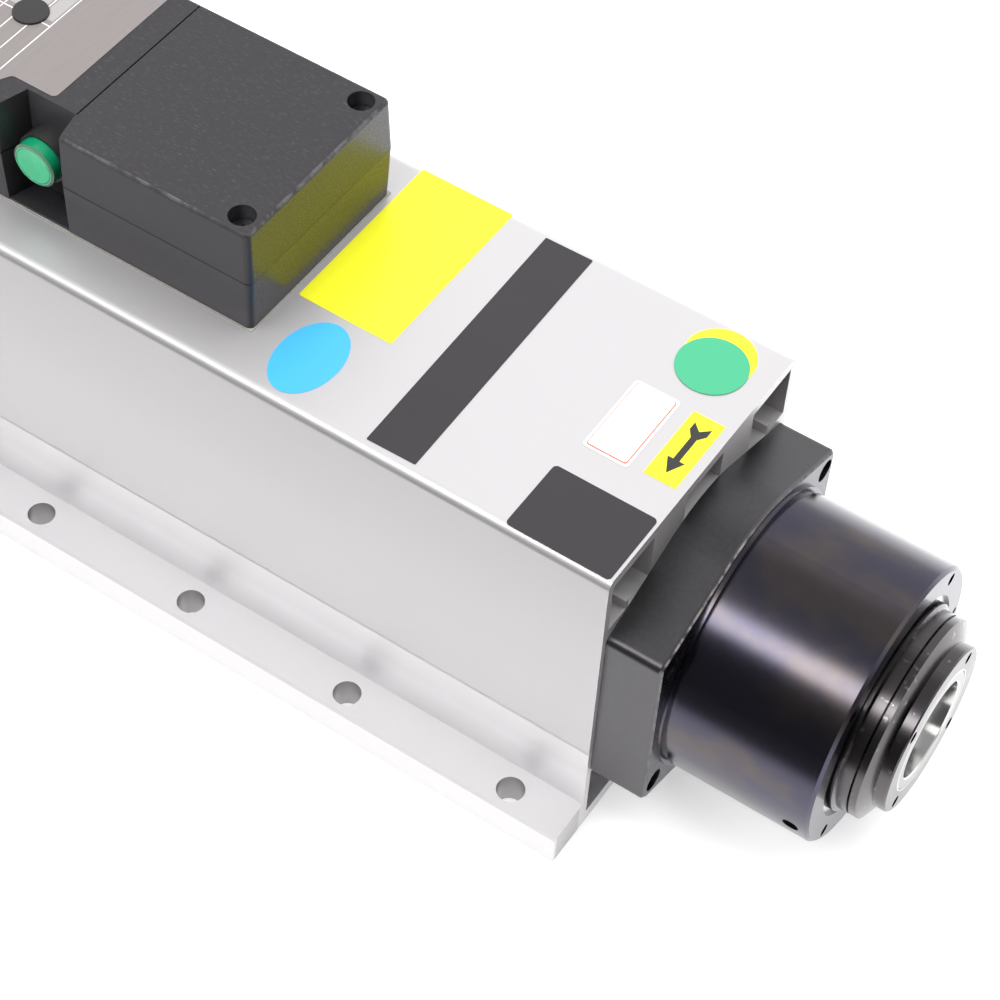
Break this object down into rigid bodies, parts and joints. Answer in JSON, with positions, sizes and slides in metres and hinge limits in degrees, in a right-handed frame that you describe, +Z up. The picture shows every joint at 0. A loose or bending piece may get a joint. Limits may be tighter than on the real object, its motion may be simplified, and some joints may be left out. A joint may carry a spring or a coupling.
{
  "type": "motor spindle",
  "caption": "Air-cooled motor spindle with a steep-taper tool socket, foot rails, terminal box with manual release button, pneumatic tool release and rear fan.",
  "frame": {"origin": "middle of the foot rails' hole pattern, on the mounting face", "axes": "+X along the spindle's axis towards the nose, +Y across, +Z up from the mounting face"},
  "size_m": [0.5775, 0.1334, 0.1619],
  "materials": {
    "anodised_aluminium": "satin natural anodised",
    "black_anodised": "black anodised, turned",
    "screw_steel": "black oxide",
    "bright_steel": "fine turned",
    "ground_steel": "ground",
    "cage_brass": "machined",
    "laminations": "stacked sheet",
    "machined_aluminium": "machined",
    "winding_resin": "varnished",
    "spring_steel": "spring steel",
    "seal_rubber": "matte",
    "nickel_brass": "nickel plated",
    "cowl_sheet": "fine powder coat",
    "black_plastic": "moulded",
    "zinc_screws": "zinc plated",
    "gasket_foam": "pale foam",
    "box_plastic": "fine grain",
    "grey_plastic": "moulded",
    "button_green": "glossy"
  },
  "bodies": {
    "housing": {"body_extrusion": "anodised_aluminium", "front_bearing_housing": "black_anodised", "front_housing_screws": "screw_steel", "front_seal_cover": "bright_steel", "front_bearing_outer_rings": "ground_steel", "rear_bearing_outer_rings": "ground_steel", "stator_core": "laminations", "stator_winding_ends": "winding_resin", "rear_bearing_housing": "black_anodised", "rear_housing_screws": "screw_steel", "release_cylinder": "machined_aluminium", "cylinder_cap": "machined_aluminium", "cylinder_cap_screws": "screw_steel", "air_fittings": "nickel_brass", "rear_cowl": "cowl_sheet", "fan_frame": "black_plastic", "fan_grille": "black_plastic", "fan_screws": "zinc_screws", "cowl_screws": "zinc_screws", "terminal_box_gasket": "gasket_foam", "terminal_box_base": "box_plastic", "terminal_box_front_lid": "box_plastic", "terminal_box_rear_lid": "box_plastic", "blanking_plug": "black_plastic", "power_connector": "black_plastic", "signal_connector": "black_plastic", "terminal_block": "grey_plastic", "release_button_collar": "black_plastic", "collar_nut": "black_plastic", "button_spring": "spring_steel", "lid_screws": "zinc_screws"},
    "rotor": {"spindle_shaft": "ground_steel", "nose_ring": "bright_steel", "front_bearing_inner_rings": "ground_steel", "rear_bearing_inner_rings": "ground_steel", "bearing_locknut": "screw_steel", "rotor_core": "laminations", "rotor_end_rings": "machined_aluminium", "disc_springs": "spring_steel"},
    "clamp": {"drawbar": "ground_steel", "drawbar_nut": "screw_steel", "tool_gripper": "ground_steel"},
    "front_cages": {"front_bearing_cages": "cage_brass", "front_bearing_balls": "ground_steel"},
    "rear_cages": {"rear_bearing_cages": "cage_brass", "rear_bearing_balls": "ground_steel"},
    "piston": {"release_piston": "machined_aluminium", "piston_seal": "seal_rubber"},
    "fan": {"fan_rotor": "black_plastic"},
    "button": {"release_button": "button_green"}
  },
  "joints": [
    {"name": "spindle_spin", "type": "hinge", "parent": "housing", "child": "rotor", "pos_m": [0, 0, 0.0613], "axis": [1, 0, 0], "continuous": true},
    {"name": "front_cage_spin", "type": "hinge", "parent": "housing", "child": "front_cages", "pos_m": [0, 0, 0.0613], "axis": [1, 0, 0], "continuous": true},
    {"name": "rear_cage_spin", "type": "hinge", "parent": "housing", "child": "rear_cages", "pos_m": [0, 0, 0.0613], "axis": [1, 0, 0], "continuous": true},
    {"name": "piston_slide", "type": "slide", "parent": "housing", "child": "piston", "axis": [1, 0, 0], "range_m": [0, 0.0075]},
    {"name": "drawbar_slide", "type": "slide", "parent": "rotor", "child": "clamp", "axis": [1, 0, 0], "range_m": [0, 0.0075], "deforming": ["disc_springs"]},
    {"name": "fan_spin", "type": "hinge", "parent": "housing", "child": "fan", "pos_m": [0, 0, 0.0613], "axis": [1, 0, 0], "continuous": true},
    {"name": "button_press", "type": "slide", "parent": "housing", "child": "button", "axis": [0, 1, 0], "range_m": [0, 0.003], "stiffness_N_per_m": 900, "springref_m": -0.002, "deforming": ["button_spring"]}
  ],
  "couplings": [
    {"joint": "front_cage_spin", "follows": "spindle_spin", "ratio": 0.425},
    {"joint": "rear_cage_spin", "follows": "spindle_spin", "ratio": 0.422},
    {"joint": "drawbar_slide", "follows": "piston_slide", "ratio": 1}
  ]
}
